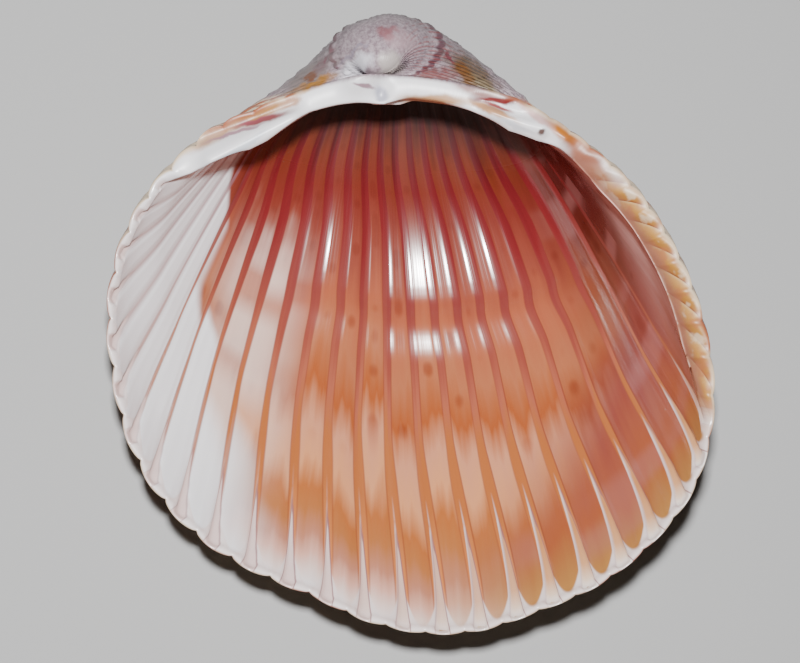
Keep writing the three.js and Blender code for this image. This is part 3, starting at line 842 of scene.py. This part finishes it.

    # front part: white, with mauve lines under the ribs: the stripes' own colour, widened and softened into
    # painted shade of the grooves
    edgeAge = add("Math", [drift, finish["raggedness"], turn], "MULTIPLY_ADD")
    fromEdge = add("MapRange", [edgeAge, *spans["fromEdge"]], **smooth)
    inDepth = add("MapRange", [turn, *spans["inDepth"]], **smooth)
    whiteStart = add("Math", [fromEdge, inDepth], "SUBTRACT")
    whiteSoft = add("MapRange", [turn, *spans["whiteSoft"]])
    whiteEnd = add("Math", [whiteStart, whiteSoft], "ADD")
    frontness = add("MapRange", [rib, whiteStart, whiteEnd, 1, 0], **smooth)
    paleRib, paleAge = finish["palest place"]
    ribGap = add("Math", [rib, paleRib], "SUBTRACT")
    ribGap = add("Math", [ribGap], "ABSOLUTE")
    paleRibs = add("MapRange", [ribGap, *spans["paleRibs"]], **smooth)
    ageGap = add("Math", [age, paleAge], "SUBTRACT")
    ageGap = add("Math", [ageGap], "ABSOLUTE")
    paleAges = add("MapRange", [ageGap, *spans["paleAges"]], **smooth)
    palePatches = add("MapRange", [patches, *spans["palePatches"]])
    paled = add("Math", [paleRibs, paleAges], "MULTIPLY")
    paled = add("Math", [paled, palePatches], "MULTIPLY", use_clamp=True)
    bandColour = add("Mix", {0: paled, 6: bandColour, 7: linear(finish["pale"])}, **ofColour)
    bandColour = add("Mix", {0: frontness, 6: bandColour, 7: linear(finish["front white"])}, **ofColour)
    stripeFade = add("MapRange", [rib, *spans["stripeFade"]], **smooth)
    stripeColour = add("Mix", {0: stripeFade, 6: linear(finish["front line"]), 7: ramps["stripes"]},
                       **ofColour)
    # in the front ribs the line is widened and softened across the groove: painted shade of the groove over
    # the stripe's own mauve
    lineWidth = add("MapRange", [fromCrest, *spans["lineWidth"]])
    inLine = add("Mix", {0: stripeFade, 2: lineWidth, 3: inStripe})
    youngFading = add("MapRange", [turn, *spans["youngFading"]])
    fading = add("Math", [frontness, youngFading], "MULTIPLY")
    stripeColour = add("Mix", {0: fading, 6: stripeColour, 7: linear(finish["front stripe"])}, **ofColour)
    striped = add("Math", [inLine, strength], "MULTIPLY")
    colour = add("Mix", {0: striped, 6: bandColour, 7: stripeColour}, **ofColour)
    sideAges = add("MapRange", [turn, *spans["sideAges"]])
    offWedge = add("MapRange", [wedgeSide, *spans["offWedge"]])
    # darken the stripes' edges with this painted shade
    for factor in (stripeFade, strength, sideAges, sideStrength, offWedge):
        border = add("Math", [border, factor], "MULTIPLY")
    colour = add("Mix", {0: border, 6: colour, 7: linear(finish["shade at the stripe's edge"])}, **ofColour)

    # the bands end in round white tips between the wedges
    roundEnd = add("Math", [curved, finish["tip roundness"], turn], "MULTIPLY_ADD")
    roundEnd = add("Math", [share, finish["tip over the rim"], roundEnd], "MULTIPLY_ADD")
    tip = add("MapRange", [roundEnd, *spans["tip"]], **smooth)
    tip = add("Math", [tip, strength], "MULTIPLY")
    colour = add("Mix", {0: tip, 6: colour, 7: linear(finish["band tip"])}, **ofColour)

    # pale wedges that open towards the edge, each with a thin mauve outline that is painted shadow of the
    # step at its sides, darker on one side, and a pale painted highlight on the other side
    inWedge = add("MapRange", [wedgeSide, *spans["inWedge"]], **smooth)
    beside = add("Math", [wedgeSide], "ABSOLUTE")
    outline = add("MapRange", [beside, *spans["outline"]], **smooth)
    foreLine = add("MapRange", [rib, *spans["foreLine"]])
    sideLine = add("Mix", {0: lightSide, 2: foreLine, 3: 0.8})
    frontLine = add("MapRange", [rib, *spans["frontLine"]])
    # a pale strip along one side of each wedge: painted highlight of the side slope that faces the light
    paleSide = add("MapRange", [wedgeSide, *spans["paleSide"]], **smooth)
    paleEdge = add("MapRange", [turn, *spans["paleEdge"]])
    paleSideRibs = add("MapRange", [rib, *spans["paleSideRibs"]])
    foreOnly = add("Math", [1, lightSide], "SUBTRACT")
    for factor in (paleEdge, paleSideRibs, foreOnly, strength):
        paleSide = add("Math", [paleSide, factor], "MULTIPLY")
    colour = add("Mix", {0: paleSide, 6: colour, 7: linear(finish["wedge's painted highlight"])}, **ofColour)
    beforeTip = add("MapRange", [tipGap, *spans["beforeTip"]])
    wedged = add("Math", [beforeTip, strength], "MULTIPLY")
    inWedge = add("Math", [inWedge, wedged], "MULTIPLY")
    # the outline is painted shadow of the wedge's step, stronger on one side
    for factor in (sideLine, frontLine, wedged):
        outline = add("Math", [outline, factor], "MULTIPLY")
    tanWedge = add("MapRange", [rib, *spans["tanWedge"]])
    wedgeColour = add("Mix", {0: tanWedge, 6: linear(finish["front wedge"]), 7: ramps["wedges"]}, **ofColour)
    colour = add("Mix", {0: inWedge, 6: colour, 7: wedgeColour}, **ofColour)
    colour = add("Mix", {0: outline, 6: colour, 7: linear(finish["wedge's painted shadow line"])}, **ofColour)

    # hind margin: yellow lobes, each with a dark line where it starts and lighter across it, which is
    # painted shade of the step where each lobe lies over the next
    lobePhase = add("Math", [lobe], "FRACT")
    lobeColour = add("ValToRGB", [lobePhase], stops=list(finish["lobes"].items()))
    blotches = add("TexNoise", {"Vector": place, "Scale": 0.33, "Detail": 3})  # 3 mm across
    brownish = add("MapRange", [blotches, *spans["brownish"]], **smooth)
    creamy = add("MapRange", [blotches, *spans["creamy"]], **smooth)
    inMargin = add("MapRange", [share, *spans["inMargin"]], **smooth)
    for amount, name in ((brownish, "brown blotch"), (creamy, "cream blotch"), (inMargin, "inner margin")):
        lobeColour = add("Mix", {0: amount, 6: lobeColour, 7: linear(finish[name])}, **ofColour)
    onMargin = add("MapRange", [lobed, *spans["onMargin"]], **smooth)
    colour = add("Mix", {0: onMargin, 6: colour, 7: lobeColour}, **ofColour)

    # hinge plate: white porcelain with stained grooves, and painted shade in its socket, under its cardinal
    # tooth and along its teeth's valleys
    height = add("SeparateXYZ", [place], out="Y")
    back = add("MapRange", [height, *spans["back"]], **smooth)
    edgeOnly = add("MapRange", [turn, *spans["edgeOnly"]], **smooth)
    onPlate = add("Math", [back, edgeOnly], "MULTIPLY")
    depth = add("SeparateXYZ", [place], out="Z")
    atHinge = add("MapRange", [height, *spans["atHinge"]])
    nearHinge = add("MapRange", [depth, *spans["nearHinge"]])
    underHinge = add("Math", [atHinge, nearHinge], "MULTIPLY")
    onPlate = add("Math", [onPlate, underHinge], "MAXIMUM")
    plate = paintMarks(add, place, linear(finish["plate"]), hingeMarks, finish["plate waver"])
    colour = add("Mix", {0: onPlate, 6: colour, 7: plate}, **ofColour)

    # the outside: cream with rust patches, grey and pink on the umbo
    outside = add("MapRange", [share, *spans["outside"]], **smooth)
    rustPlace = add("VectorMath", [onCoil, finish["rust spacing"], (0, 0, 9)], "MULTIPLY_ADD")
    rustNoise = add("TexNoise", {"Vector": rustPlace, "Scale": 1, "Detail": 4})
    rusty = add("MapRange", [rustNoise, *spans["rusty"]], **smooth)
    outer = add("Mix", {0: rusty, 6: linear(finish["outside"]), 7: linear(finish["rust"])}, **ofColour)
    worn = add("MapRange", [turn, *spans["worn"]], **smooth)
    mottle = add("TexNoise", {"Vector": place, "Scale": 1.6, "Detail": 5, "Roughness": 0.75})  # 0.6 mm
    mottled = add("MapRange", [mottle, *spans["mottled"]], **smooth)
    cap = add("Mix", {0: mottled, 6: linear(finish["cap"]), 7: linear(finish["light cap"])}, **ofColour)
    rimGap = add("Math", [turn, growth["cap age"]], "SUBTRACT")
    rimGap = add("Math", [rimGap], "ABSOLUTE")
    onRim = add("MapRange", [rimGap, *spans["onRim"]], **smooth)
    cap = add("Mix", {0: onRim, 6: cap, 7: linear(finish["cap rim"])}, **ofColour)
    offRib = add("Math", [rib], "FRACT")
    offRib = add("Math", [offRib, 0.5], "SUBTRACT")
    offRib = add("Math", [offRib], "ABSOLUTE")
    inFurrow = add("MapRange", [offRib, *spans["inFurrow"]], **smooth)
    streaky = add("MapRange", [rustNoise, *spans["streaky"]])
    facingUp = add("MapRange", [depth, *spans["facingUp"]], **smooth)
    marked = paintMarks(add, place, cap, umboMarks, finish["umbo waver"])
    across = add("SeparateXYZ", [place])
    streaksStart = add("MapRange", [across, *spans["streaksStart"]])
    streaksEnd = add("MapRange", [across, *spans["streaksEnd"]])
    for factor in (streaky, streaksStart, streaksEnd):
        inFurrow = add("Math", [inFurrow, factor], "MULTIPLY")
    marked = add("Mix", {0: inFurrow, 6: marked, 7: linear(finish["umbo furrow"])}, **ofColour)
    cap = add("Mix", {0: facingUp, 6: cap, 7: marked}, **ofColour)
    beforeHinge = add("MapRange", [height, *spans["beforeHinge"]])
    onFace = add("Math", [beforeHinge, facingUp], "MULTIPLY")
    worn = add("Math", [worn, onFace], "MAXIMUM")
    outer = add("Mix", {0: worn, 6: outer, 7: cap}, **ofColour)
    colour = add("Mix", {0: outside, 6: colour, 7: outer}, **ofColour)

    # polished inside, duller outside; the mantle leaves fine lines along the ribs, 7 to each
    shader = tree.nodes["Principled BSDF"]
    tree.links.new(colour, shader.inputs["Base Color"])
    rough = add("Mix", {0: onPlate, 2: finish["hollow roughness"], 3: finish["plate roughness"]})
    deepDullness = add("MapRange", [turn, *spans["deepDullness"]])
    rough = add("Math", [rough, deepDullness], "ADD")
    rough = add("Mix", {0: onMargin, 2: rough, 3: finish["margin roughness"]})
    rough = add("Mix", {0: outside, 2: rough, 3: finish["outside roughness"]})
    tree.links.new(rough, shader.inputs["Roughness"])
    shader.inputs["IOR"].default_value = finish["IOR"]
    striaePlace = add("VectorMath", [onCoil, finish["striae spacing"]], "MULTIPLY")
    striae = add("TexNoise", {"Vector": striaePlace, "Scale": 1, "Detail": 2})
    lines = add("Bump", {"Height": striae, **finish["striae"]}, out="Normal")
    tree.links.new(lines, shader.inputs["Normal"])
    return material


stageSize = {  # places are in the valve's own frame, in mm
    "cameraPlace": (3.14, -36.5, 400),
    "cameraAngle": radians(16.26),
    "lampPlace": (3.14, 14, 420),
    "lampSize": 22,
    "lampEnergy": 4.6,
    "roomLight": 0.022,
    "card": "#a3a3a3",
    "cardHalf": 1500,
}


def makeStage(toShared, size):
    camera = bpy.data.objects.new("camera", bpy.data.cameras.new("camera"))
    bpy.context.collection.objects.link(camera)
    camera.matrix_world = toShared @ Matrix.Translation(size["cameraPlace"]) @ Matrix.Scale(1 / mm, 4)
    camera.data.angle = size["cameraAngle"]
    camera.data.clip_start = 0.01
    bpy.context.scene.camera = camera

    paper = bpy.data.materials.new("matt grey card")  # pressed paper, dull and even
    paper.use_nodes = True
    paper.node_tree.nodes["Principled BSDF"].inputs["Base Color"].default_value = linear(size["card"])
    paper.node_tree.nodes["Principled BSDF"].inputs["Roughness"].default_value = 0.9
    mesh = bpy.data.meshes.new("floor")
    half = size["cardHalf"] * mm
    corners = [(-half, -half, 0), (half, -half, 0), (half, half, 0), (-half, half, 0)]
    mesh.from_pydata(corners, [], [(0, 1, 2, 3)])
    mesh.materials.append(paper)
    floor = bpy.data.objects.new("floor", mesh)
    bpy.context.collection.objects.link(floor)

    lampData = bpy.data.lights.new("key", "AREA")
    lampData.size = size["lampSize"] * mm
    lampData.energy = size["lampEnergy"]
    lamp = bpy.data.objects.new("key", lampData)
    bpy.context.collection.objects.link(lamp)
    lamp.matrix_world = toShared @ Matrix.Translation(size["lampPlace"]) @ Matrix.Scale(1 / mm, 4)
    world = bpy.data.worlds.new("studio")
    world.use_nodes = True
    world.node_tree.nodes["Background"].inputs["Color"].default_value = linear("#ffffff")
    world.node_tree.nodes["Background"].inputs["Strength"].default_value = size["roomLight"]
    bpy.context.scene.world = world


finish = makeShellMaterial()
print("finish mixed:", len(finish.node_tree.nodes), "nodes")
mesh = growValve(finish)
print("valve grown:", len(mesh.vertices), "points,", len(mesh.polygons), "faces")
toShared = layOnBack(mesh, valveSize)
shell = bpy.data.objects.new("cockle_valve", mesh)
bpy.context.collection.objects.link(shell)
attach(shell, "root")
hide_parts("valve")
makeStage(toShared, stageSize)
print("stage set")
